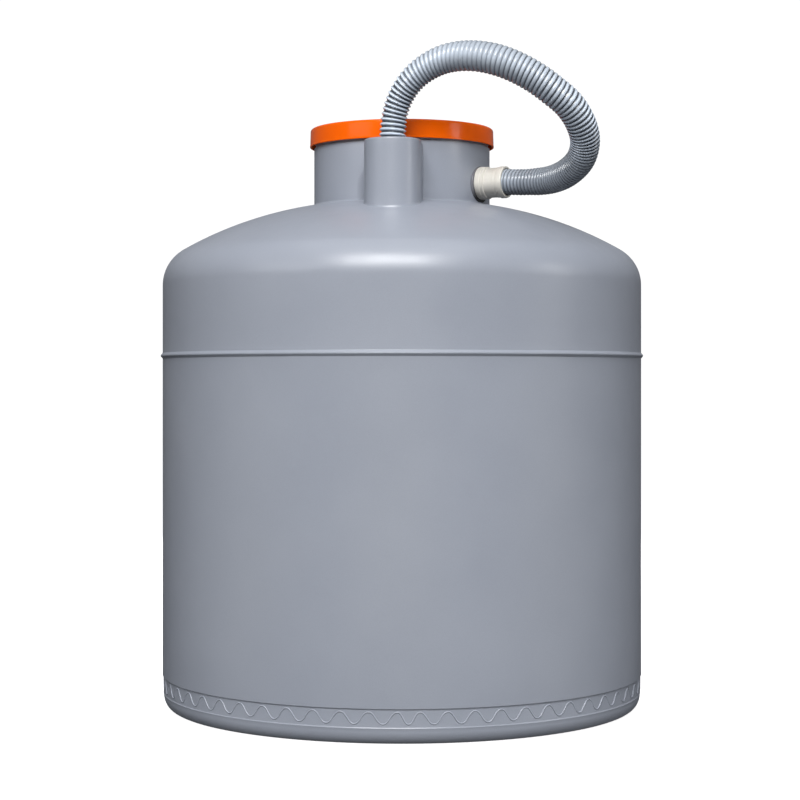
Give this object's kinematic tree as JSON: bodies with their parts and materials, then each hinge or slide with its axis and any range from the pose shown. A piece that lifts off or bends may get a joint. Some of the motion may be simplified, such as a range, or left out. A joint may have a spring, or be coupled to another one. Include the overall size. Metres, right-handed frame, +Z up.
{
  "type": "biogas digester tank",
  "caption": "Round moulded plastic biogas digester tank with a domed roof, manhole neck, lift-off lid, hose tower and a corrugated gas hose to a side coupling.",
  "frame": {"origin": "middle of the flat underside, on the ground", "axes": "+Z up along the tank's axis; -Y is the front, through the middle of the hose tower; +X is on the right seen from the front"},
  "size_m": [1.8648, 1.8648, 2.4766],
  "materials": {
    "tank_plastic": "satin rotomoulded",
    "lid_plastic": "semi-gloss moulded",
    "coupling_pvc": "satin",
    "pipe_pvc": "satin",
    "grommet_rubber": "matte",
    "hose_plastic": "glossy"
  },
  "bodies": {
    "tank": {"tank_floor": "tank_plastic", "foot_front": "tank_plastic", "foot_right": "tank_plastic", "foot_back": "tank_plastic", "foot_left": "tank_plastic", "base_band_front": "tank_plastic", "base_band_right": "tank_plastic", "base_band_back": "tank_plastic", "base_band_left": "tank_plastic", "lower_wall_front": "tank_plastic", "lower_wall_right": "tank_plastic", "lower_wall_back": "tank_plastic", "lower_wall_left": "tank_plastic", "belt_rib_front": "tank_plastic", "belt_rib_right": "tank_plastic", "belt_rib_back": "tank_plastic", "belt_rib_left": "tank_plastic", "upper_wall_front": "tank_plastic", "upper_wall_right": "tank_plastic", "upper_wall_back": "tank_plastic", "upper_wall_left": "tank_plastic", "shoulder_front": "tank_plastic", "shoulder_right": "tank_plastic", "shoulder_back": "tank_plastic", "shoulder_left": "tank_plastic", "dome_front": "tank_plastic", "dome_right": "tank_plastic", "dome_back": "tank_plastic", "dome_left": "tank_plastic", "neck_front": "tank_plastic", "neck_right": "tank_plastic", "neck_back": "tank_plastic", "neck_left": "tank_plastic", "tower_wall": "tank_plastic", "tower_top": "tank_plastic", "outlet_stub": "pipe_pvc", "outlet_grommet": "grommet_rubber", "hose_coupling": "coupling_pvc", "gas_hose": "hose_plastic"},
    "lid": {"lid_top": "lid_plastic", "lid_skirt": "lid_plastic"}
  },
  "joints": [
    {"name": "lid_lift", "type": "slide", "parent": "tank", "child": "lid", "axis": [0, 0, 1], "range_m": [0, 0.45]}
  ]
}
